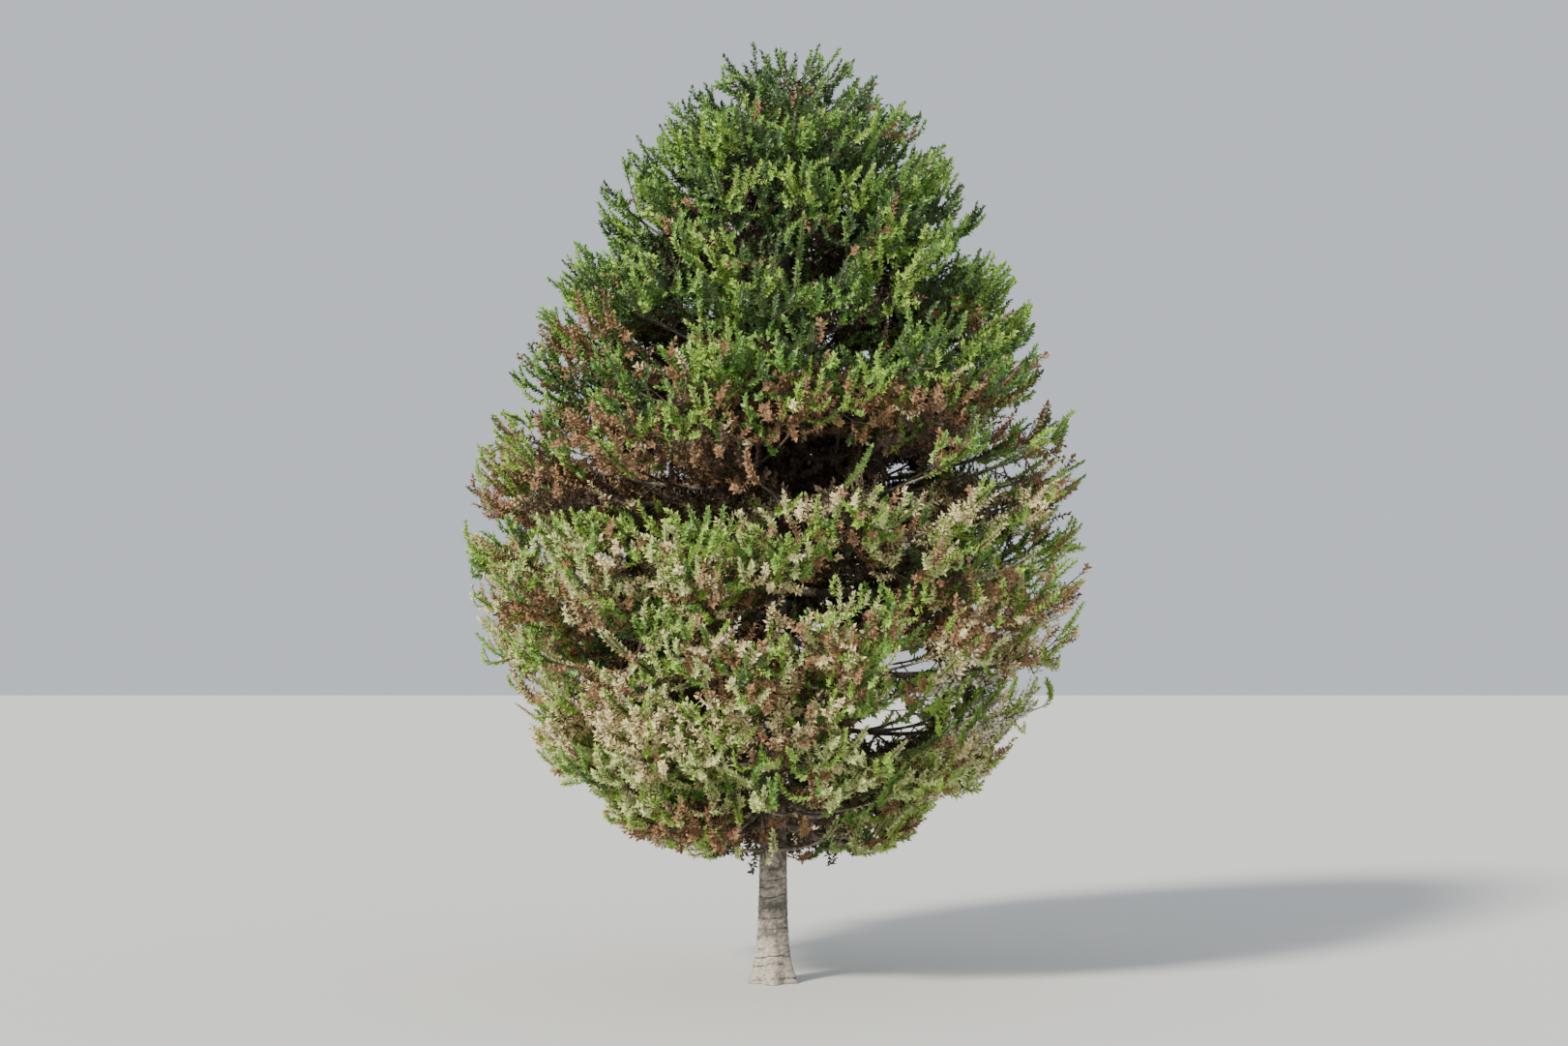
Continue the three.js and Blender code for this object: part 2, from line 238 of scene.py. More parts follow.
# How the shares of dead, rusty and pale sprays change with the height
DEAD_HEIGHTS = (1.5, 2.6, 3.8, 4.8, 5.5, 6.2, 7.2, 8.5)
DEAD_SHARES = (0.36, 0.34, 0.36, 0.3, 0.5, 0.2, 0.04, -0.1)
RUST_HEIGHTS = (2, 3.5, 4.8, 5.5)
RUST_SHARES = (0.35, 0.42, 0.45, 0.7)
PALE_HEIGHTS = (2.5, 5, 6.5)
PALE_SHARES = (1, 0.8, 0)
# Size and seed of the slow random fields that change them from place to place
DEAD_FIELD = (0.8, 5)
RUST_FIELD = (0.6, 9)
FRESH_FIELD = (0.4, 3)
# How much the fields, depth in the crown and hanging down change what a rope is
DEAD_BY_FIELD = 0.22
DEAD_BY_DEPTH = 0.4
DEAD_DEPTHS = (0.3, 0.7)
DEAD_BY_HANGING = 0.2
HANGING_UPTURNS = (0.26, 0.14)  # from not hanging at all to hanging in full
RUST_BY_FIELD = 0.35
FRESH_BY_FIELD = 0.3
# Further inside the crown, live ropes turn deep green: painted shade
SHADE_BY_DEPTH = 0.5
SHADE_DEPTHS = (0.1, 0.5)
# Shares of the kinds, some of them first where the crown is fresh and then where it is pale
STRAW_SHARE = 0.62  # of the dead ropes that aren't rusty
DEEP_SHARES = (0.3, 0.12)
DEEP_AND_GREEN_SHARES = (0.66, 0.32)
OLIVE_SHARE = 0.75  # of the other live ropes where the crown is pale
COLOR_AT = 0.6  # of a rope: the place that settles its colour
LIMB_TONE = 0.8  # keeps the limbs' own leaves green
DEAD_TONE = -1.0  # and marks the dead ropes under limbs, which take the dark umber of dead leaves and painted shade wherever they are
OWN_DRAW = 0.4  # how much a rope may differ from its spray
# Most sprays deep in the crown, below the trunk's tip, take the dark umber: dead leaves darkened as painted
# shade
UMBER_SHADE_TONE = 0.6
UMBER_SHADE_DEPTH = 0.42

# How the crown is shared out into pieces: whorls counted from 0, with the top as the last
TIERS = {"low": (0, 1, 2), "middle": (3, 4), "high": (5, 6, 7, 8)}

# How finely the wood is made
TRUNK_SIDES = 72
TRUNK_SHOWS_TO = 2.6
TRUNK_FINE_STEP = 0.011  # up to there
TRUNK_STEP = 0.032  # further up
GRAIN_INSET = 0.004  # keeps the bark's grain round the solid's surface
BOUGH_RINGS = 48
BOUGH_SIDES = 16
LIMB_RINGS = 24
LIMB_SIDES = 8
TWIG_STEP = 0.18

# Leaves
LEAF_WIDEST = 0.36  # share of the length
LEAF_FOLD = 0.16  # of the width
LEAF_LINE_STEP = 0.07
LEAF_SIZES_AT = (0, 0.15, 0.8, 1)  # shares of a rope's leafy part
LEAF_SIZES = (0.8, 1, 1, 0.8)
TWIG_END = 0.4  # against the thickness at the twig's start
CLOSES_FROM = 0.86  # of a rope, where its leaves begin to close up
CLOSED = 0.45
SPIN_JITTER = 0.4
SPIN_SEED = 11
SIZE_JITTER = 0.15
SIZE_SEED = 5
GOLDEN_ANGLE = math.pi * (3 - math.sqrt(5))

# The stage
FLOOR_HALF = 90
FLOOR_DROP = 0.002
SKY_STRENGTH = 0.75
SUN_STRENGTH = 5.6
SUN_SPREAD = math.radians(9)
SUN_TURN = (math.radians(57), 0, math.radians(-40))
CAMERA_PLACE = (0.12, -30.8, 4.1)
CAMERA_TARGET = (0.12, 0, 4.9)
CAMERA_LENS = 66


def mix(low, high, share):
    return low + (high - low) * share


def ease(low, high, value):
    """0 before low, 1 past high, with a smooth change between."""
    share = np.clip((value - low) / (high - low), 0, 1)
    return share * share * (3 - 2 * share)


class Seeded:
    """The generator of the solids: the same draws for the same seed."""

    def __init__(self, seed):
        self.state = seed
        self()
        self()

    def __call__(self):
        self.state = self.state * 16807 % 2147483647
        return self.state / 2147483647


# Curves. Each is a function from shares of its length, 0 to 1, to points.


def outline_radius(height):
    below = np.clip((WIDEST_HEIGHT - height) / (WIDEST_HEIGHT - CROWN_FOOT), 0, 1)
    above = np.clip((height - WIDEST_HEIGHT) / (TREE_HEIGHT - WIDEST_HEIGHT), 0, 1)
    return CROWN_RADIUS * np.sqrt(np.where(below > 0, 1 - below**2, 1 - above))


def trunk_middle(height):
    share = np.asarray(height, float) / TREE_HEIGHT
    return np.stack([LEAN * share**2, 0 * share, TREE_HEIGHT * share], axis=-1)


def trunk_radius(height):
    share = np.clip(height, 0, TRUNK_TIP) / TRUNK_TIP
    stem = mix(TRUNK_RADIUS, TRUNK_TIP_RADIUS, share**TRUNK_TAPER)
    return stem + FLARE_RADIUS * np.exp(-np.asarray(height) / FLARE_HEIGHT)


def level_heading(azimuth):
    return np.array([math.cos(azimuth), math.sin(azimuth), 0])


class Whorl:
    """A ring of limbs round the trunk. Between two whorls of the solids its index is a fraction."""

    def __init__(self, index, more_sag=1):
        share = index / (WHORLS - 1)
        self.index = index
        self.height = mix(FIRST_WHORL, LAST_WHORL, share)
        self.rise = mix(LOW_RISE, HIGH_RISE, share)
        self.sag = mix(LOW_SAG, HIGH_SAG, share) * more_sag
        self.reach = float(outline_radius(self.height + self.rise))
        self.limbs = 4 if index in (0, WHORLS - 1) else 5
        self.root = trunk_middle(self.height)

    def azimuth(self, limb, limbs):
        return self.index * WHORL_TURN + limb / limbs * 2 * math.pi

    def limb(self, azimuth):
        outward = level_heading(azimuth)

        def at(u):
            u = np.asarray(u, float)[..., None]
            height = self.rise * u - 4 * self.sag * u * (1 - u)
            return self.root + outward * self.reach * u + height * np.array([0, 0, 1])

        return at


def stretch(curve, start, end):
    return lambda u: curve(mix(start, end, np.asarray(u, float)))


def bezier(*points):
    def at(u):
        u = np.asarray(u, float)[..., None]
        row = [np.asarray(point, float) for point in points]
        while len(row) > 1:
            row = [mix(a, b, u) for a, b in zip(row, row[1:])]
        return row[0]

    return at


def along(curve, u):
    ahead = curve(min(u + 1e-3, 1)) - curve(max(u - 1e-3, 0))
    return ahead / np.linalg.norm(ahead)


def length_of(curve):
    points = curve(np.linspace(0, 1, 12))
    return float(np.linalg.norm(np.diff(points, axis=0), axis=1).sum())


def fork_curve(whorl, azimuth, start, turn):
    """The side limb of a mass, which leaves the stem early and ends beside its tip."""
    limb = whorl.limb(azimuth)
    swing = turn * FORK_REACH * math.pi / whorl.limbs
    lift = FORK_LIFT * (1 + turn)
    # Share of the limb, share of the full swing to the side, height above the limb
    places = (
        (mix(start, 1, 0.14), 0, 0),
        (mix(start, 1, 0.4), 0.6, -0.02),
        (0.74, 1.05, lift / 2),
        (0.97, 1, lift),
    )
    points = []
    for u, share, height in places:
        x, y, z = limb(u) - whorl.root
        sine = math.sin(swing * share)
        cosine = math.cos(swing * share)
        turned = np.array([x * cosine - y * sine, x * sine + y * cosine, z + height])
        points.append(whorl.root + turned)
    return bezier(*points)


def lifted(curve):
    """The same limb with its end turned up."""

    def at(u):
        late = np.clip(np.asarray(u, float) - 0.75, 0, 1) / 0.25
        return curve(u) + TIP_LIFT * late[..., None] ** 2 * np.array([0, 0, 1])

    return at


def heading_from(stem, u, spread):
    """Which way a rope heads that leaves a stem at an angle to one side."""
    ahead = along(stem, u)
    side = np.array([ahead[1], -ahead[0], 0])
    side = side / max(np.linalg.norm(side), 1e-6)
    flat = ahead * [1, 1, 0.6]
    flat = flat / np.linalg.norm(flat)
    return flat * math.cos(spread) + side * math.sin(spread)


def rope_curve(stem, u, spread, pitch, length):
    """A rope of leaves from a point on a stem, as in the solids. It turns up towards its end."""
    heading = heading_from(stem, u, spread)
    start = stem(u)
    middle = start + heading * length * 0.5 * math.cos(pitch)
    middle[2] += length * 0.5 * math.sin(pitch)
    end = start + heading * length * 0.8 * math.cos(pitch)
    end[2] += length * (ROPE_RISE + 0.55 * math.sin(pitch))
    return bezier(start, middle, end)


def hooked_curve(stem, u, spread, pitch, length, random):
    """A finer rope that runs out and then swings forwards and up in a hook. No two are alike."""
    swing = math.copysign(mix(-0.5, 1.3, random()), spread)
    rise = mix(0.02, 0.4, random())
    length *= mix(0.75, 1.3, random())
    drift = np.array([random() - 0.5 for axis in "xyz"]) * DRIFT * length
    flat = length * math.cos(pitch)
    fall = length * math.sin(pitch)
    start = stem(u)
    leaving = start + heading_from(stem, u, spread + swing) * flat * 0.36
    leaving[2] += 0.4 * fall - 0.1 * length
    turning = start + heading_from(stem, u, spread + 0.3 * swing) * flat * 0.7
    turning[2] += 0.75 * fall - 0.1 * length
    end = start + heading_from(stem, u, spread - 0.2 * swing) * flat * 0.92
    end[2] += 0.65 * fall + rise * length
    return bezier(start, leaving, turning + drift, end - 0.4 * drift)


class Habit(NamedTuple):
    """How ropes stand on what carries them. The first is that of the solids."""

    end: float = LAST_ROPE  # the last rope, as a share of the way along
    low: float = 0.15
    steep: float = 0.7
    loose: float = 1.0  # how much they differ from each other
    hooked: bool = False


FINE = Habit(end=0.95, low=-0.45, steep=0.25, loose=3.4, hooked=True)
FILL = Habit(end=0.98, low=-0.4, steep=0.3, loose=2.4, hooked=True)
HANGING = Habit(end=0.75, low=-1.1, steep=-0.5, loose=2.0, hooked=True)
BAND = Habit(end=0.97, low=-1.3, steep=-0.6, loose=2.4, hooked=True)


def ropes_on(stem, start, count, size, random, habit=Habit()):
    """Ropes to both sides of a stem in turn, two low ones and then two steep ones."""
    for i in range(count):
        u = mix(start, habit.end, (i + 0.5) / count)
        turn = 1 if i % 2 else -1
        spread = turn * (mix(1.15, 0.6, u) + 0.3 * habit.loose * (random() - 0.5))
        pitch = (habit.low if i % 4 < 2 else habit.steep) + 0.25 * habit.loose * (random() - 0.5)
        length = size * mix(1.05, 0.8, u) * (0.88 + 0.24 * random())
        if habit.hooked:
            yield hooked_curve(stem, u, spread, pitch, length, random)
        else:
            yield rope_curve(stem, u, spread, pitch, length)


# Where ropes may grow


def patch(place, size, seed):
    """A slow random field between about -1 and 1, so that like sprays stand together."""
    return 2.2 * noise.noise(Vector(place) / size + Vector((seed, seed, seed)))


def off_middle(x, z, ellipse):
    """How far off the middle of an ellipse on the front a point lies, squared: 1 at its edge."""
    middle_x, middle_z, half_width, half_height = ellipse
    return ((x - middle_x) / half_width) ** 2 + ((z - middle_z) / half_height) ** 2


def in_gap(points, dead=False):
    """Whether one of the points lies in an opening, or in a hollow, where only dead ropes hang."""
    edge = 1 + np.array([GAP_EDGE * noise.noise(Vector(point) * 3) for point in points])
    hollow = points[-1, 1] < -HOLLOW_DEPTH and not dead
    gaps = SKY_GAPS + HOLLOWS if hollow else SKY_GAPS
    return any(np.any(off_middle(points[:, 0], points[:, 2], gap) < edge) for gap in gaps)


def in_hole(place):
    """Whether a place is in one of the crown's random holes: small and many near the top."""
    in_any = patch(place, HOLE_SIZE, HOLE_SEED) < HOLE
    top_hole = mix(-3, TOP_HOLE, ease(*TOP_HOLES_GROW, place[2]))
    return in_any or patch(place, TOP_HOLE_SIZE, TOP_HOLE_SEED) < top_hole


def out_from_trunk(points):
    """How far points stand off the trunk's middle line."""
    middle = trunk_middle(points[..., 2])
    return np.hypot(points[..., 0] - middle[..., 0], points[..., 1] - middle[..., 1])


def keeps_inside(curve, notch=NOTCH):
    """Whether a rope keeps to the crown's outline, off the trunk and out of its openings."""
    points = curve(np.array([0.4, 0.7, 1.0]))
    heights = points[:, 2]
    out = out_from_trunk(points)
    inner = INNER_BARE * outline_radius(heights[1]) if heights[1] < TRUNK_TIP else 0
    slack = OUTLINE_SLACK - notch * ease(0.1, 0.7, patch(points[1], NOTCH_SIZE, NOTCH_SEED))
    return bool(
        np.all(out < np.minimum(outline_radius(heights) + slack, WIDEST_ROPE))
        and out[1] > inner
        and np.all(out > trunk_radius(heights) + TRUNK_GAP)
        and np.all(heights > LOWEST_ROPE)
        and heights[-1] < TREE_HEIGHT - TOP_SLACK
        and not in_hole(points[1])
        and not in_gap(points)
    )


# The crown, worked out as curves


class Limb(NamedTuple):
    tier: str
    curve: object
    root_radius: float
    tip_radius: float = LIMB_TIP_RADIUS


class Rope(NamedTuple):
    tier: str
    curve: object
    length: float
    leafy_from: float  # share of its length from which it has leaves
    tone: float  # drawn once for the whole spray
    draw: float  # and once for this rope


def tier_of(index):
    return next(name for name, members in TIERS.items() if index in members)


def finest_ropes(tier, curve, start, count, size, tone, random):
    ropes = []
    for finer in ropes_on(curve, start, count, size, random, FINE):
        draw = random()
        if keeps_inside(finer, notch=0):
            ropes.append(Rope(tier, finer, length_of(finer), FINE_LEAFY_FROM, tone, draw))
    return ropes


def spray(tier, curve, random):
    """A rope with the finest ropes on it."""
    tone = random()
    length = length_of(curve)
    carrier = Rope(tier, curve, length, CARRIER_LEAFY_FROM, tone, random())
    count = max(2, round(length / FINE_GAP))
    size = max(FINE_SHORTEST, FINE_SHARE * length)
    return [carrier] + finest_ropes(tier, curve, FINE_FROM, count, size, tone, random)


def sprays_on(tier, ropes, random):
    """Sprays that grow from ropes, where there is room for them."""
    grown = []
    for curve in ropes:
        if keeps_inside(curve):
            grown += spray(tier, curve, random)
    return grown


def dress(tier, branch, fill_from, fill_gap, random, finer_random):
    """The ropes of a branch: those of the solids, a tuft round its tip, and the fill.

    A branch is a limb or fork, with the start, number and length of the solids' ropes on it.
    """
    stem, first, count, size = branch
    length = length_of(stem)
    leafy_from = mix(first, 1, STEM_LEAFY_FROM)
    ropes = [Rope(tier, stem, length, leafy_from, LIMB_TONE, finer_random())]
    ropes += sprays_on(tier, ropes_on(stem, first, count, size, random), finer_random)
    tone = finer_random()
    ropes += finest_ropes(tier, stem, TUFT_FROM, TUFT_ROPES, TUFT_LENGTH, tone, finer_random)
    fill = round(length * (FILL.end - fill_from) / fill_gap)
    ropes += sprays_on(tier, ropes_on(stem, fill_from, fill, FILL_LENGTH, finer_random, FILL), finer_random)
    return ropes


def dead_ropes(tier, whorl, azimuth, random):
    """Dark dead ropes under a limb: dead leaves, with painted shade in their dark colour. In the band there
    are more, and they keep to its heights as a dark fill of painted shade.
    """
    growth = (HANGING_FROM, HANGING_ROPES, HANGING_LENGTH, random, HANGING)
    lowest, highest = 0, TREE_HEIGHT
    if BAND_WHORLS[0] < whorl.index < BAND_WHORLS[1]:
        growth = (BAND_FROM, BAND_ROPES, BAND_LENGTH, random, BAND)
        lowest, highest = BAND_HEIGHTS
    ropes = []
    for curve in ropes_on(whorl.limb(azimuth), *growth):
        points = curve(np.array([0.5, 1.0]))
        x, y, height = points[1]
        inside = math.hypot(x - whorl.root[0], y) < outline_radius(height) - DEAD_EDGE
        if inside and lowest < height < highest and not in_gap(points, dead=True):
            ropes.append(Rope(tier, curve, length_of(curve), DEAD_LEAFY_FROM, DEAD_TONE, random()))
    return ropes


def grow_mass(whorl, number, seed, between=False):
    """The limbs and ropes of a mass, or of a limb between two whorls, which has finer ropes alone."""
    random = Seeded(seed)
    finer_random = Seeded(seed + FINER_SEED)
    tier = tier_of(int(whorl.index))
    azimuth = whorl.azimuth(number, LIMBS_BETWEEN if between else whorl.limbs)
    start = BARE_SHARE if whorl.index < WHORLS_WITH_BOUGHS and not between else 0
    first = FIRST_ROPE_PAST_BOUGH if start else FIRST_STEM_ROPE
    fill_from = FILL_FROM_PAST_BOUGH if start else FILL_FROM
    fill_gap = FILL_GAP_BETWEEN if between else FILL_GAP
    thickness = THIN_BETWEEN if between else 1
    stem = lifted(stretch(whorl.limb(azimuth), start, 1))
    limbs = [Limb(tier, stem, thickness * mix(LIMB_RADIUS, STEM_TIP_RADIUS, start))]
    branches = [(stem, first, 0 if between else STEM_ROPES, ROPE_LENGTH)]
    for turn in (-1, 1):
        fork = lifted(fork_curve(whorl, azimuth, max(start, FIRST_FORK), turn))
        limbs.append(Limb(tier, fork, thickness * FORK_WOOD_RADIUS))
        branches.append((fork, FIRST_FORK_ROPE, 0 if between else FORK_ROPES, FORK_ROPE_LENGTH))
    ropes = []
    for branch in branches:
        ropes += dress(tier, branch, fill_from, fill_gap, random, finer_random)
    return limbs, ropes + dead_ropes(tier, whorl, azimuth, finer_random)


def top_arm(start, azimuth, reach, rise, out, up):
    """An arm of the top, which bends up near given shares of its reach and rise."""
    outward = level_heading(azimuth)
    middle = start + outward * reach * out + [0, 0, rise * up]
    return bezier(start, middle, start + outward * reach + [0, 0, rise])


def grow_top():
    """The top mass: small whorls of arms round a stem that goes on from the trunk's tip."""
    random = Seeded(TOP_SEED)
    finer_random = Seeded(TOP_SEED + FINER_SEED)
    stem = bezier(trunk_middle(TRUNK_TIP), trunk_middle(TRUNK_TIP + TOP_STEM_HEIGHT))
    ropes = []
    for tier, (share, top, count) in enumerate(TOP_TIERS):
        reach = max(TUFT_REACH, float(outline_radius(top)))
        for i in range(TOP_ARMS):
            azimuth = (i + tier / 2) / TOP_ARMS * 2 * math.pi + 0.3 * (random() - 0.5)
            start = stem(share + i * TOP_ARM_STEP)
            arm = top_arm(start, azimuth, reach, top - start[2] - 0.04 * (i % 3), *TOP_BEND)
            ropes += spray("high", arm, finer_random)
            for curve in ropes_on(arm, 0.3, count, TOP_ROPE_LENGTH, random):
                ropes += spray("high", curve, finer_random)
    for i in range(TOP_FILL):
        share = (i + 0.5) / TOP_FILL
        top = mix(*TOP_FILL_HEIGHTS, share)
        reach = float(outline_radius(top)) * (0.85 + 0.2 * finer_random())
        start = stem(mix(0, 0.9, share))
        arm = top_arm(start, i * GOLDEN_ANGLE, reach, top - start[2], *TOP_FILL_BEND)
        ropes += spray("high", arm, finer_random)
        fill = ropes_on(arm, 0.3, TOP_FILL_ROPES, FILL_LENGTH, finer_random, FILL)
        ropes += sprays_on("high", fill, finer_random)
    return [Limb("high", stem, TRUNK_TIP_RADIUS, TOP_WOOD_TIP_RADIUS)], ropes


@functools.cache
def grow_crown():
    """All limbs and ropes."""
    grown = []
    for index in range(WHORLS):
        whorl = Whorl(index)
        for number in range(whorl.limbs):
            grown.append(grow_mass(whorl, number, MASS_SEED + index * 100 + number * 7))
        for number in range(LIMBS_BETWEEN):
            seed = BETWEEN_SEED + index * 100 + number * 7
            place = index + 0.5 + SCATTER * (Seeded(seed)() - 0.5)
            grown.append(grow_mass(Whorl(place, SAG_BETWEEN), number, seed, between=True))
    grown.append(grow_top())
    limbs, ropes = zip(*grown)
    return sum(limbs, []), sum(ropes, [])


# The colour of each rope


def patch_kind(place, draw):
    """The kind of the dead patch that a place on the front lies in, if any."""
    if place[1] < 0:
        for *ellipse, kind in DEAD_PATCHES:
            if off_middle(place[0], place[2], ellipse) + PATCH_LOSS * draw < PATCH_EDGE:
                return kind
    return None


def dead_share(place, depth, upturn):
    """How likely a rope is dead: more so low down, inside the crown and where it hangs."""
    share = float(np.interp(place[2], DEAD_HEIGHTS, DEAD_SHARES))
    share += DEAD_BY_FIELD * patch(place, *DEAD_FIELD)
    share += DEAD_BY_DEPTH * ease(*DEAD_DEPTHS, depth)
    return share + DEAD_BY_HANGING * ease(*HANGING_UPTURNS, upturn)


def dead_kind(place, draw):
    share = mix(draw, 0.5 + 0.5 * patch(place, *RUST_FIELD), RUST_BY_FIELD)
    rusty = float(np.interp(place[2], RUST_HEIGHTS, RUST_SHARES))
    if share < rusty:
        return "rust"
    return "straw" if share < mix(rusty, 1, STRAW_SHARE) else "grey"


def live_kind(place, depth, own, draw):
    """Deep green inside, as painted shade; fresh green outside, partly a painted highlight; and greyer
    lower down.
    """
    pale = float(np.interp(place[2], PALE_HEIGHTS, PALE_SHARES))
    share = own + FRESH_BY_FIELD * patch(place, *FRESH_FIELD)
    # Painted shade: the deeper a rope sits in the crown, the darker its green
    share -= SHADE_BY_DEPTH * ease(*SHADE_DEPTHS, depth)
    if share < mix(*DEEP_SHARES, pale):
        return "deep"
    if share < mix(*DEEP_AND_GREEN_SHARES, pale):
        return "green"
    # Outer live ropes take the yellow-green of young growth, lightened as a painted highlight
    return "olive" if draw < OLIVE_SHARE * pale else "young"


def kind_of(rope):
    """Which colour a rope takes."""
    place = rope.curve(COLOR_AT)
    depth = 1 - float(out_from_trunk(place)) / max(float(outline_radius(place[2])), 0.3)
    upturn = (rope.curve(1.0)[2] - place[2]) / max(rope.length, 0.1)
    in_patch = patch_kind(place, rope.draw)
    if in_patch:
        return in_patch
    # Painted shade: dark umber for the dead ropes under limbs and for most ropes deep in the crown
    if rope.tone < 0 or (rope.tone < UMBER_SHADE_TONE and depth > UMBER_SHADE_DEPTH and place[2] < TRUNK_TIP):
        return "umber"
    own = mix(rope.tone, rope.draw, OWN_DRAW)
    if own < dead_share(place, depth, upturn):
        return dead_kind(place, rope.draw)
    return live_kind(place, depth, own, rope.draw)


# Meshes


def mesh_of(name, points, faces, smooth=True):
    mesh = bpy.data.meshes.new(name)
    mesh.from_pydata([tuple(point) for point in points], [], faces)
    mesh.polygons.foreach_set("use_smooth", [smooth] * len(mesh.polygons))
    mesh.update()
    return mesh


def new_object(name, data):
    made = bpy.data.objects.new(name, data)
    bpy.context.scene.collection.objects.link(made)
    return made


def new_piece(mesh, material, nodes, slot):
    """Puts a finished mesh in place of some nodes of the solids."""
    piece = new_object(mesh.name, mesh)
    mesh.materials.clear()
    mesh.materials.append(material)
    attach(piece, "root")
    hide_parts(*nodes)


def rings_to_faces(rings, sides, first=0):
    """Quads between rings of points, and a fan to a middle point at each end."""
    faces = []
    for ring in range(rings - 1):
        low = first + ring * sides
        for side in range(sides):
            after = (side + 1) % sides
            faces.append((low + side, low + after, low + sides + after, low + sides + side))
    foot = first + rings * sides
    top = first + (rings - 1) * sides
    for side in range(sides):
        after = (side + 1) % sides
        faces.append((foot, first + after, first + side))
        faces.append((foot + 1, top + side, top + after))
    return faces


class Relief(NamedTuple):
    ring_gap: float  # between two scars that run round the wood
    ring_depth: float
    plate_size: float
    plate_depth: float
    grain_depth: float


BOUGH_RELIEF = Relief(0.06, 0.0015, 0.05, 0.0015, 0.003)
LIMB_RELIEF = Relief(0.06, 0.001, 0.05, 0.001, 0.002)


def noise_at(x, y, z):
    return noise.noise(Vector((x, y, z)))


def ring_scar(point, turns):
    """How deep a bent and broken scar that runs round the wood is at a point, from 0 to 1."""
    bend = 0.5 * noise_at(4 * point.x, 4 * point.y, 2 * point.z)
    drift = 1.6 * noise_at(0, 0, turns / 2.3)
    ring, place = divmod(turns + bend + drift, 1)
    unbroken = 0.5 + 1.6 * noise_at(2 * point.x, 2 * point.y, ring)
    return mix(0.35, 1, min(1, max(0, unbroken))) * math.exp(-(((place - 0.5) / 0.075) ** 2))


def bark_relief(point, relief):
    """How far the bark stands out at a point, and how much of a dark groove is there."""
    turns = point.z / relief.ring_gap
    scar = ring_scar(point, turns)
    wrinkle = 2 * max(0, noise_at(9 * point.x, 9 * point.y, 7 * turns))
    nearest = noise.voronoi(Vector((point.x, point.y, 1.6 * point.z)) / relief.plate_size)[0]
    crack = 1 - min(1, (nearest[1] - nearest[0]) / 0.22)
    grain = noise.fractal(point * 38, 0.9, 2.1, 4)
    out = relief.grain_depth * grain
    out -= relief.ring_depth * (scar + 0.3 * wrinkle)
    out -= relief.plate_depth * crack
    return out, min(1, 0.7 * scar + 0.25 * wrinkle + 0.5 * crack)


def bark_points(middles, outward, radii, relief):
    """Rings of bark round some middles, then the two end middles, and the groove at each point."""
    rings = middles[:, None] + outward * radii[..., None]
    found = np.array([bark_relief(Vector(point), relief) for point in rings.reshape(-1, 3)])
    rings += outward * found[:, 0].reshape(rings.shape[:2])[..., None]
    points = np.concatenate([rings.reshape(-1, 3), middles[[0, -1]]])
    return points, np.append(found[:, 1], [0, 0])


def limb_points(limb, rings, sides, relief):
    shares = np.linspace(0, 1, rings)
    middles = limb.curve(shares)
    ahead = np.gradient(middles, axis=0)
    ahead /= np.linalg.norm(ahead, axis=1)[:, None]
    side = np.cross(ahead, [0, 0, 1])
    side /= np.maximum(np.linalg.norm(side, axis=1), 1e-6)[:, None]
    up = np.cross(side, ahead)
    angles = (np.arange(sides) / sides * 2 * math.pi)[:, None]
    outward = side[:, None] * np.cos(angles) + up[:, None] * np.sin(angles)
    radii = mix(limb.root_radius, limb.tip_radius, shares)
    return bark_points(middles, outward, radii[:, None], relief)[0]


def trunk_points(relief):
    """The trunk's points, how many rings they make, and how much of a groove each is in."""
    low = np.arange(0, TRUNK_SHOWS_TO, TRUNK_FINE_STEP)
    high = np.arange(TRUNK_SHOWS_TO, TRUNK_TIP, TRUNK_STEP)
    heights = np.concatenate([low, high, [TRUNK_TIP]])
    angles = np.arange(TRUNK_SIDES) / TRUNK_SIDES * 2 * math.pi
    fade = np.exp(-heights / FLARE_HEIGHT)[:, None]
    lobe = 1 + FLARE_LOBE_DEPTH * fade * np.cos(FLARE_LOBES * angles)
    radii = trunk_radius(heights)[:, None] * lobe - GRAIN_INSET
    outward = np.stack([np.sin(angles), -np.cos(angles), 0 * angles], axis=-1)
    points, grooves = bark_points(trunk_middle(heights), outward, radii, relief)
    points[:TRUNK_SIDES, 2] = 0
    return points, len(heights), grooves


# Node trees


class Nodes:
    """A node tree, with the calls that add a node to it."""

    def __init__(self, tree):
        self.tree = tree

    def node(self, kind, inputs=None, **settings):
        made = self.tree.nodes.new(kind)
        for key, value in settings.items():
            setattr(made, key, value)
        for key, value in (inputs or {}).items():
            self.feed(made.inputs[key], value)
        return made

    def value(self, output, kind, inputs=None, **settings):
        """One output of a new node."""
        return Value(self, self.node(kind, inputs, **settings).outputs[output])

    def feed(self, socket, value):
        if isinstance(value, Value):
            value = value.socket
        if isinstance(value, bpy.types.NodeSocket):
            self.tree.links.new(value, socket)
        else:
            socket.default_value = value

    def math(self, operation, first, second, clamp=False):
        return self.value(0, "ShaderNodeMath", {0: first, 1: second}, operation=operation, use_clamp=clamp)


class Value:
    """What comes out of a node. Numbers are reckoned with by the usual signs."""

    def __init__(self, nodes, socket):
        self.nodes = nodes
        self.socket = socket

    def __add__(self, other):
        return self.nodes.math("ADD", self, other)

    def __sub__(self, other):
        return self.nodes.math("SUBTRACT", self, other)

    def __rsub__(self, other):
        return self.nodes.math("SUBTRACT", other, self)

    def __mul__(self, other):
        return self.nodes.math("MULTIPLY", self, other)

    __radd__ = __add__
    __rmul__ = __mul__

    def between(self, low, high):
        """0 below low, 1 above high, straight between."""
        return self.nodes.math("MULTIPLY", self - low, 1 / (high - low), clamp=True)


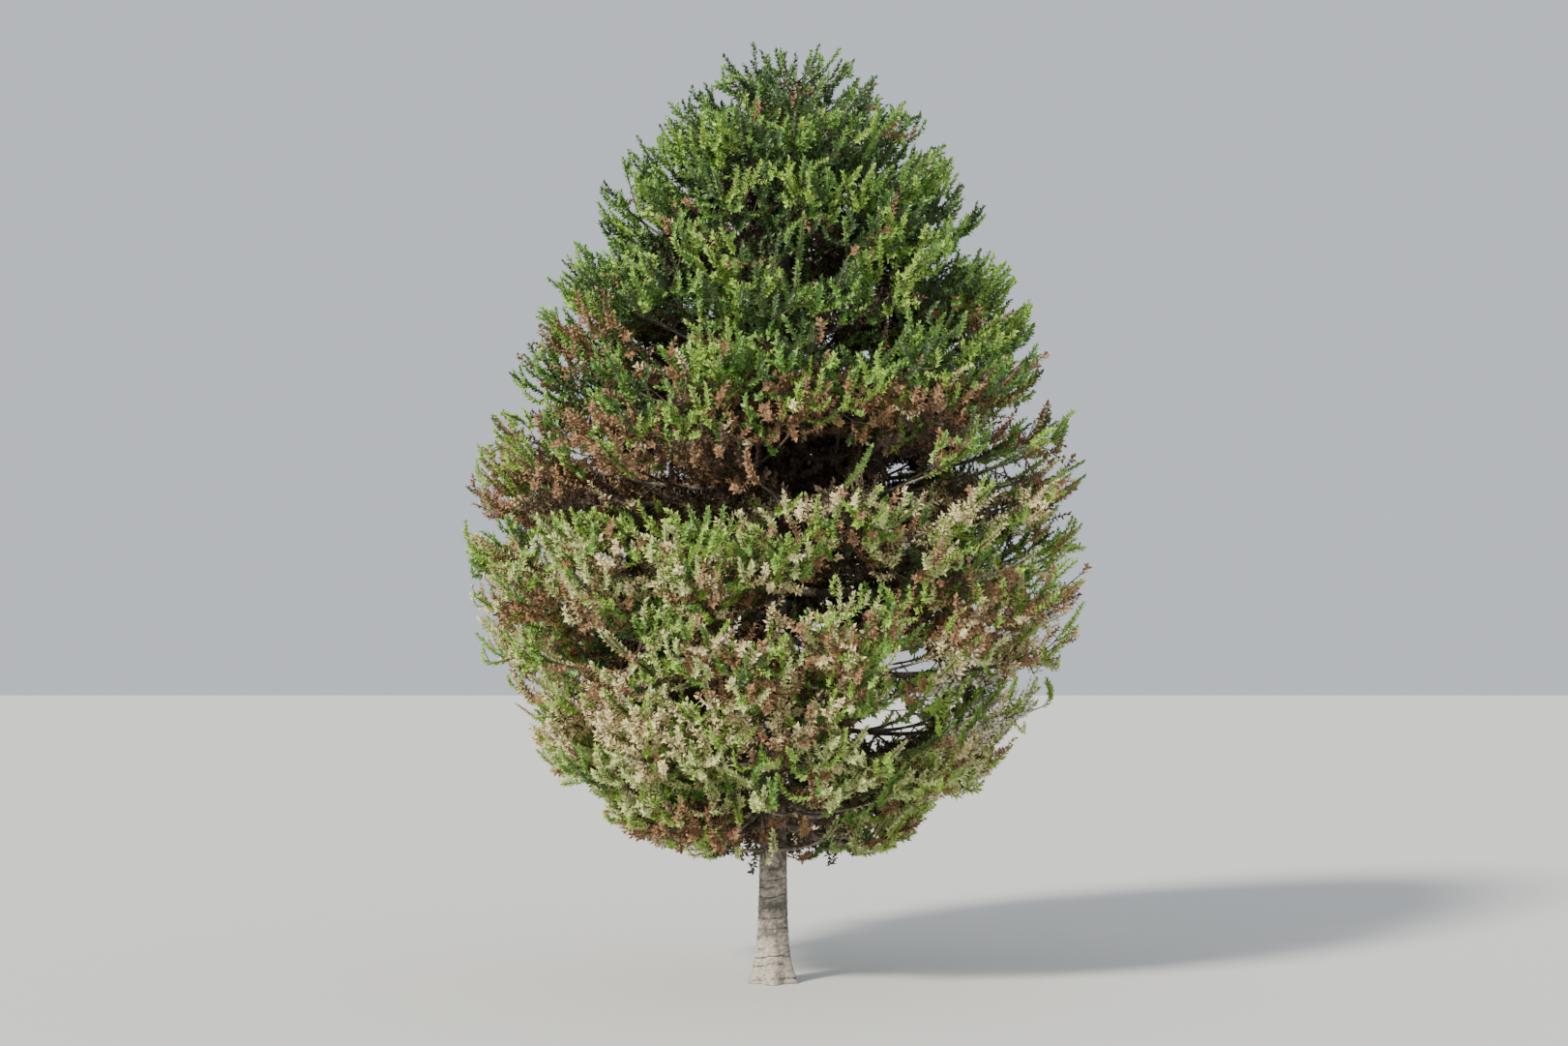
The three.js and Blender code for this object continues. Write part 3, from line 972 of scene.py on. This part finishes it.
class Shader(Nodes):
    """A material with nodes."""

    def __init__(self, name):
        self.material = bpy.data.materials.new(name)
        self.material.use_nodes = True
        super().__init__(self.material.node_tree)
        self.surface = self.tree.nodes["Principled BSDF"]

    def place(self):
        return self.value("Object", "ShaderNodeTexCoord")

    def noise(self, scale, detail=4.0, stretch_z=1.0):
        inputs = {"Vector": self.place(), "Scale": (1, 1, stretch_z)}
        place = self.value("Vector", "ShaderNodeMapping", inputs)
        inputs = {"Vector": place, "Scale": scale, "Detail": detail, "Roughness": 0.6}
        return self.value("Fac", "ShaderNodeTexNoise", inputs)

    def blend(self, share, low, high):
        """A colour between two others."""
        return self.value(2, "ShaderNodeMix", {"Factor": share, 6: low, 7: high}, data_type="RGBA")

    def finish(self, color, roughness, height=None, bump=0.0):
        self.feed(self.surface.inputs["Base Color"], color)
        self.feed(self.surface.inputs["Roughness"], roughness)
        if height is not None:
            inputs = {"Height": height, "Strength": 1.0, "Distance": bump}
            self.feed(self.surface.inputs["Normal"], self.value("Normal", "ShaderNodeBump", inputs))
        return self.material


class Tree(Nodes):
    """A node tree that clothes ropes. Its other inputs are given as name and kind of socket."""

    def __init__(self, name, **inputs):
        super().__init__(bpy.data.node_groups.new(name, "GeometryNodeTree"))
        sockets = self.tree.interface
        sockets.new_socket("Geometry", in_out="OUTPUT", socket_type="NodeSocketGeometry")
        self.keys = {}
        for label, kind in {"Ropes": "Geometry", **inputs}.items():
            socket = sockets.new_socket(label, in_out="INPUT", socket_type="NodeSocket" + kind)
            self.keys[label] = socket.identifier
        self.ask = self.node("NodeGroupInput").outputs

    def random(self, low, high, seed):
        inputs = {2: low, 3: high, "Seed": seed}
        return self.value(1, "FunctionNodeRandomValue", inputs, data_type="FLOAT")

    def thickness(self):
        return self.value("Radius", "GeometryNodeInputRadius")

    def close(self, geometry):
        """Ends the tree with plain meshes in its material."""
        real = self.value("Geometry", "GeometryNodeRealizeInstances", {"Geometry": geometry})
        inputs = {"Geometry": real, "Material": self.ask["Material"]}
        painted = self.value("Geometry", "GeometryNodeSetMaterial", inputs)
        self.node("NodeGroupOutput", {"Geometry": painted})
        return self


def leaf_rotation(tree):
    """Turns a leaf away from its rope and round it. Leaves near a rope's tip close up."""
    share = tree.value("Factor", "GeometryNodeSplineParameter")
    inputs = {"Value": share, "From Min": CLOSES_FROM, "From Max": 1.0, "To Min": 1.0, "To Max": CLOSED}
    closing = tree.value("Result", "ShaderNodeMapRange", inputs)
    tilt = closing * tree.ask["Opening"] + tree.random(-1.0, 1.0, tree.ask["Seed"]) * tree.ask["Disorder"]
    index = tree.value("Index", "GeometryNodeInputIndex")
    spin = index * GOLDEN_ANGLE + tree.random(-SPIN_JITTER, SPIN_JITTER, SPIN_SEED)
    turn = tree.value("Vector", "ShaderNodeCombineXYZ", {"Y": tilt, "Z": spin})
    turn = tree.value("Rotation", "FunctionNodeEulerToRotation", {"Euler": turn})
    tangent = tree.value("Tangent", "GeometryNodeInputTangent")
    normal = tree.value("Normal", "GeometryNodeInputNormal")
    axes = {"Primary Axis": tangent, "Secondary Axis": normal}
    base = tree.value("Rotation", "FunctionNodeAxesToRotation", axes, primary_axis="Z", secondary_axis="X")
    inputs = {"Rotation": base, "Rotate By": turn}
    return tree.value("Rotation", "FunctionNodeRotateRotation", inputs, rotation_space="LOCAL")


def leaves_tree():
    """Stands a leaf every few millimetres round each rope, in a spiral."""
    numbers = {"Spacing": "Float", "Opening": "Float", "Disorder": "Float", "Seed": "Int"}
    tree = Tree("Leaves round ropes", Leaf="Object", Material="Material", **numbers)
    steps = {"Curve": tree.ask["Ropes"], "Length": tree.ask["Spacing"]}
    placed = {
        "Points": tree.value("Curve", "GeometryNodeResampleCurve", steps, mode="LENGTH"),
        "Instance": tree.value("Geometry", "GeometryNodeObjectInfo", {"Object": tree.ask["Leaf"]}),
        "Rotation": leaf_rotation(tree),
        "Scale": tree.thickness() * tree.random(1 - SIZE_JITTER, 1 + SIZE_JITTER, SIZE_SEED),
    }
    return tree.close(tree.value("Instances", "GeometryNodeInstanceOnPoints", placed))


def twigs_tree():
    """Turns each rope's middle line into wood of three sides."""
    tree = Tree("Twigs in ropes", Thickness="Float", Material="Material")
    circle = {"Resolution": 3, "Radius": 1.0}
    wood = {
        "Curve": tree.ask["Ropes"],
        "Profile Curve": tree.value("Curve", "GeometryNodeCurvePrimitiveCircle", circle, mode="RADIUS"),
        "Scale": tree.thickness() * tree.ask["Thickness"],
        "Fill Caps": True,
    }
    return tree.close(tree.value("Mesh", "GeometryNodeCurveToMesh", wood))


def rope_object(name, lines):
    """A curve object of polylines, each given as points and the relative thickness at each."""
    data = bpy.data.curves.new(name, "CURVE")
    data.dimensions = "3D"
    for points, sizes in lines:
        spline = data.splines.new("POLY")
        spline.points.add(len(points) - 1)
        flat = np.concatenate([points, np.ones((len(points), 1))], axis=1)
        spline.points.foreach_set("co", flat.ravel())
        spline.points.foreach_set("radius", sizes)
    return new_object(name, data)


def clothe(name, lines, tree, **values):
    """The plain mesh that a node tree makes of polylines."""
    host = rope_object(name + "_lines", lines)
    modifier = host.modifiers.new("Clothe", "NODES")
    modifier.node_group = tree.tree
    for key, value in values.items():
        modifier[tree.keys[key]] = value
    bpy.context.view_layer.update()
    graph = bpy.context.evaluated_depsgraph_get()
    mesh = bpy.data.meshes.new_from_object(host.evaluated_get(graph), depsgraph=graph)
    mesh.name = name
    data = host.data
    bpy.data.objects.remove(host)
    bpy.data.curves.remove(data)
    return mesh


# What a user would change


def a_length(name, description, default):
    kind = {"unit": "LENGTH", "min": 0}
    return bpy.props.FloatProperty(name=name, description=description, default=default, **kind)


def a_color(name, description, default):
    kind = {"subtype": "COLOR", "size": 3, "min": 0, "max": 1}
    return bpy.props.FloatVectorProperty(name=name, description=description, default=default, **kind)


class FoliageLook(bpy.types.PropertyGroup):
    leaf_length: a_length("Leaf length", "From the twig's middle to the tip", 0.064)
    leaf_width: a_length("Leaf width", "At its widest", 0.042)
    leaf_spacing: a_length("Leaf spacing", "From one leaf to the next", 0.0112)
    sparse_spacing: a_length("Sparse spacing", "On dead ropes and deep in the crown", 0.0138)
    bare_spacing: a_length("Bare twig spacing", "On old dead ropes", 0.022)
    opening: bpy.props.FloatProperty(
        name="Opening", description="Angle between leaf and rope", default=0.9, subtype="ANGLE"
    )
    twig_thickness: a_length("Twig thickness", "Half the width of a rope's wood", 0.01)
    # Yellow-green of young growth, made lighter as a painted highlight on the outer ropes
    young: a_color("Young leaves", "Sunlit ends of ropes", (0.36, 0.55, 0.1))
    green: a_color("Green leaves", "Most of the crown", (0.2, 0.38, 0.075))
    # Dark green put inside the crown as painted shade
    deep: a_color("Deep leaves", "Older leaves inside the crown", (0.075, 0.15, 0.042))
    olive: a_color("Grey-green leaves", "Leaves grown over with lichen", (0.58, 0.64, 0.27))
    rust: a_color("Rusty leaves", "Newly dead ropes", (0.33, 0.185, 0.09))
    # Dark brown of dead leaves, darkened as painted shade inside the crown
    umber: a_color("Umber leaves", "Dead ropes deep in the crown", (0.1, 0.065, 0.042))
    straw: a_color("Straw leaves", "Faded dead ropes", (0.76, 0.65, 0.36))
    grey: a_color("Grey twigs", "Old dead ropes", (0.7, 0.67, 0.58))
    twig: a_color("Twigs", "The wood in the ropes", (0.12, 0.085, 0.055))


class BarkLook(bpy.types.PropertyGroup):
    ring_gap: a_length("Ring gap", "Between two scars round the trunk", 0.11)
    ring_depth: a_length("Ring depth", "Of those scars", 0.007)
    plate_size: a_length("Plate size", "Of the plates of bark", 0.075)
    plate_depth: a_length("Plate depth", "Of the cracks between them", 0.004)
    grain_depth: a_length("Grain depth", "Of the trunk's fine relief", 0.004)
    trunk_pale: a_color("Pale bark", "Most of the trunk", (0.46, 0.41, 0.34))
    trunk_dark: a_color("Dark bark", "Weathered patches", (0.15, 0.13, 0.11))
    lichen: a_color("Lichen", "Spots on the bark", (0.5, 0.49, 0.4))
    groove: a_color("Grooves", "Scars and cracks", (0.07, 0.055, 0.045))
    limb_pale: a_color("Pale limb bark", "The lit parts of limbs", (0.19, 0.155, 0.12))
    limb_dark: a_color("Dark limb bark", "The rest of the limbs", (0.075, 0.058, 0.044))


# Finishes


def rgba(color):
    return (*color, 1)


def trunk_finish(look):
    shader = Shader("pale ringed bark")
    height = shader.value("Z", "ShaderNodeSeparateXYZ", {"Vector": shader.place()})
    foot = 1 - (height + 0.35 * shader.noise(4)).between(0.4, 0.75)
    patches = (shader.noise(5, 3) + 0.22 * foot).between(0.44, 0.62)
    lichen = shader.noise(17, 5).between(0.56, 0.66)
    groove = shader.value("Fac", "ShaderNodeAttribute", attribute_name="groove").between(0.1, 0.9)
    color = shader.blend(patches, rgba(look.trunk_dark), rgba(look.trunk_pale))
    color = shader.blend(lichen * 0.7, color, rgba(look.lichen))
    color = shader.blend(groove, color, rgba(look.groove))
    grain = shader.noise(60, 6, 0.35)
    return shader.finish(color, 0.85 + 0.1 * grain, grain, 0.004)


def limb_finish(look):
    shader = Shader("brown limb bark")
    patches = shader.noise(6).between(0.4, 0.62)
    lichen = shader.noise(24, 5).between(0.55, 0.65)
    color = shader.blend(patches, rgba(look.limb_dark), rgba(look.limb_pale))
    color = shader.blend(lichen * 0.6, color, rgba(look.lichen))
    grain = shader.noise(80, 5)
    return shader.finish(color, 0.85 + 0.1 * grain, grain, 0.003)


def plain_finish(name, color, roughness):
    return Shader(name).finish(rgba(color), roughness)


# Leaves and twigs


class LeafKind(NamedTuple):
    roughness: float
    spacing: str  # which one of the look's
    opening: float = 1.0  # against the look's
    disorder: float = 0.16


LEAF_KINDS = {
    "young": LeafKind(0.42, "leaf_spacing"),
    "green": LeafKind(0.42, "leaf_spacing"),
    "deep": LeafKind(0.4, "sparse_spacing"),
    "olive": LeafKind(0.7, "leaf_spacing"),
    "rust": LeafKind(0.75, "sparse_spacing", 1.25, 0.35),
    "umber": LeafKind(0.8, "sparse_spacing", 1.25, 0.35),
    "straw": LeafKind(0.8, "sparse_spacing", 1.25, 0.35),
    "grey": LeafKind(0.85, "bare_spacing"),
}


def nodes_of(tier):
    """The foliage nodes of the solids that a tier of the crown stands for."""
    starts = [f"foliage_{index + 1}_" if index < WHORLS else "foliage_top" for index in TIERS[tier]]
    return sorted(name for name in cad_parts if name.startswith(tuple(starts)))


def slot_of(tier):
    return "foliage_dry" if tier == "low" else "foliage_green"


def leaf_object(look):
    """One leaf along +Z: a kite folded along its middle, hollow towards -X."""
    widest = LEAF_WIDEST * look.leaf_length
    fold = -LEAF_FOLD * look.leaf_width
    half = look.leaf_width / 2
    corners = ((0, 0, 0), (fold, -half, widest), (0, 0, look.leaf_length), (fold, half, widest))
    return bpy.data.objects.new("leaf", mesh_of("leaf", corners, [(0, 2, 1), (0, 3, 2)], smooth=False))


def leaf_line(rope):
    """The leafy part of a rope as points, with the size of the leaves at each."""
    count = max(4, round(rope.length * (1 - rope.leafy_from) / LEAF_LINE_STEP))
    shares = np.linspace(0, 1, count)
    sizes = np.interp(shares, LEAF_SIZES_AT, LEAF_SIZES)
    return rope.curve(mix(rope.leafy_from, 1, shares)), sizes


def twig_line(rope):
    """A whole rope as points, with the relative thickness of its wood at each."""
    count = max(3, round(rope.length / TWIG_STEP) + 1)
    shares = np.linspace(0, 1, count)
    return rope.curve(shares), mix(1, TWIG_END, shares)


# Operators


class TREE_OT_trunk(bpy.types.Operator):
    """Builds the trunk with ringed, plated bark"""

    bl_idname = "tree.trunk"
    bl_label = "Build Trunk"

    def execute(self, context):
        look = context.scene.tree_bark
        relief = Relief(*[getattr(look, name) for name in Relief._fields])
        points, rings, grooves = trunk_points(relief)
        mesh = mesh_of("trunk_bark", points, rings_to_faces(rings, TRUNK_SIDES))
        groove = mesh.attributes.new("groove", "FLOAT", "POINT")
        groove.data.foreach_set("value", grooves)
        new_piece(mesh, trunk_finish(look), ["trunk"], "trunk_bark")
        return {"FINISHED"}


class TREE_OT_boughs(bpy.types.Operator):
    """Builds the bare inner part of each lower limb"""

    bl_idname = "tree.boughs"
    bl_label = "Build Boughs"

    def execute(self, context):
        finish = limb_finish(context.scene.tree_bark)
        faces = rings_to_faces(BOUGH_RINGS, BOUGH_SIDES)
        tip_radius = mix(LIMB_RADIUS, STEM_TIP_RADIUS, BARE_SHARE)
        for index in range(WHORLS_WITH_BOUGHS):
            whorl = Whorl(index)
            for number in range(whorl.limbs):
                curve = stretch(whorl.limb(whorl.azimuth(number, whorl.limbs)), 0, BARE_SHARE)
                bough = Limb(tier_of(index), curve, BOUGH_FOOT_RADIUS, tip_radius)
                points = limb_points(bough, BOUGH_RINGS, BOUGH_SIDES, BOUGH_RELIEF)
                label = f"{index + 1}_{number + 1}"
                mesh = mesh_of("bough_bark_" + label, points, faces)
                new_piece(mesh, finish, ["bough_" + label], "limb_bark")
        return {"FINISHED"}


class TREE_OT_limbs(bpy.types.Operator):
    """Builds the wood of the limbs and forks inside the foliage"""

    bl_idname = "tree.limbs"
    bl_label = "Build Limbs"

    def execute(self, context):
        finish = limb_finish(context.scene.tree_bark)
        limbs, _ = grow_crown()
        for tier in TIERS:
            points = []
            faces = []
            for limb in limbs:
                if limb.tier == tier:
                    faces += rings_to_faces(LIMB_RINGS, LIMB_SIDES, sum(map(len, points)))
                    points.append(limb_points(limb, LIMB_RINGS, LIMB_SIDES, LIMB_RELIEF))
            mesh = mesh_of("limbs_" + tier, np.concatenate(points), faces)
            new_piece(mesh, finish, nodes_of(tier), "limb_bark")
        return {"FINISHED"}


class TREE_OT_twigs(bpy.types.Operator):
    """Grows the wood inside the ropes of the crown"""

    bl_idname = "tree.twigs"
    bl_label = "Grow Twigs"

    def execute(self, context):
        look = context.scene.tree_foliage
        values = {"Thickness": look.twig_thickness, "Material": plain_finish("twig wood", look.twig, 0.85)}
        tree = twigs_tree()
        _, ropes = grow_crown()
        for tier in TIERS:
            lines = [twig_line(rope) for rope in ropes if rope.tier == tier]
            mesh = clothe("twigs_" + tier, lines, tree, **values)
            new_piece(mesh, values["Material"], nodes_of(tier), slot_of(tier))
        return {"FINISHED"}


class TREE_OT_leaves(bpy.types.Operator):
    """Stands leaves round the ropes, each kind of rope in its own colour"""

    bl_idname = "tree.leaves"
    bl_label = "Grow Leaves"

    def execute(self, context):
        look = context.scene.tree_foliage
        leaf = leaf_object(look)
        tree = leaves_tree()
        _, ropes = grow_crown()
        lines = {}
        for rope in ropes:
            lines.setdefault((kind_of(rope), rope.tier), []).append(leaf_line(rope))
        for seed, (name, kind) in enumerate(LEAF_KINDS.items()):
            values = {
                "Leaf": leaf,
                "Spacing": getattr(look, kind.spacing),
                "Opening": look.opening * kind.opening,
                "Disorder": kind.disorder,
                "Seed": seed,
                "Material": plain_finish(name + " leaves", getattr(look, name), kind.roughness),
            }
            for tier in TIERS:
                if (name, tier) in lines:
                    mesh = clothe(f"leaves_{name}_{tier}", lines[name, tier], tree, **values)
                    new_piece(mesh, values["Material"], nodes_of(tier), slot_of(tier))
        bpy.data.objects.remove(leaf)
        return {"FINISHED"}


class TREE_OT_stage(bpy.types.Operator):
    """Sets up the floor, the light and the camera"""

    bl_idname = "tree.stage"
    bl_label = "Set Up Stage"

    def execute(self, context):
        scene = context.scene
        low, high = -FLOOR_HALF, FLOOR_HALF
        corners = [(low, low, 0), (high, low, 0), (high, high, 0), (low, high, 0)]
        floor = new_object("floor", mesh_of("floor", corners, [(0, 1, 2, 3)]))
        floor.location.z = -FLOOR_DROP
        floor.data.materials.append(plain_finish("pale floor", (0.68, 0.68, 0.65), 0.9))
        scene.world = bpy.data.worlds.new("studio")
        scene.world.use_nodes = True
        sky = scene.world.node_tree.nodes["Background"].inputs
        sky["Color"].default_value = (0.86, 0.91, 1, 1)
        sky["Strength"].default_value = SKY_STRENGTH
        sun = new_object("key_light", bpy.data.lights.new("key_light", "SUN"))
        sun.data.energy = SUN_STRENGTH
        sun.data.angle = SUN_SPREAD
        sun.data.color = (1, 0.95, 0.86)
        sun.rotation_euler = SUN_TURN
        camera = new_object("camera", bpy.data.cameras.new("camera"))
        camera.data.lens = CAMERA_LENS
        camera.data.clip_end = 500
        camera.location = CAMERA_PLACE
        view = Vector(CAMERA_TARGET) - camera.location
        camera.rotation_euler = view.to_track_quat("-Z", "Y").to_euler()
        scene.camera = camera
        return {"FINISHED"}


class TREE_PT_panel(bpy.types.Panel):
    """The tree's sizes and colours, and the steps that build it"""

    bl_label = "Monkey Puzzle Tree"
    bl_idname = "TREE_PT_panel"
    bl_space_type = "VIEW_3D"
    bl_region_type = "UI"
    bl_category = "Tree"

    def draw(self, context):
        for group in (context.scene.tree_foliage, context.scene.tree_bark):
            for name in group.bl_rna.properties.keys():
                if name not in ("rna_type", "name"):
                    self.layout.prop(group, name)
        for step in STEPS:
            self.layout.operator(step.bl_idname)


STEPS = (TREE_OT_trunk, TREE_OT_boughs, TREE_OT_limbs, TREE_OT_twigs, TREE_OT_leaves, TREE_OT_stage)
CLASSES = (FoliageLook, BarkLook, *STEPS, TREE_PT_panel)


def register():
    for cls in CLASSES:
        bpy.utils.register_class(cls)
    bpy.types.Scene.tree_foliage = bpy.props.PointerProperty(type=FoliageLook)
    bpy.types.Scene.tree_bark = bpy.props.PointerProperty(type=BarkLook)


def unregister():
    del bpy.types.Scene.tree_bark
    del bpy.types.Scene.tree_foliage
    for cls in reversed(CLASSES):
        bpy.utils.unregister_class(cls)


def main():
    register()
    bpy.ops.tree.trunk()
    bpy.ops.tree.boughs()
    bpy.ops.tree.limbs()
    bpy.ops.tree.twigs()
    bpy.ops.tree.leaves()
    bpy.ops.tree.stage()


if __name__ == "__main__":
    main()
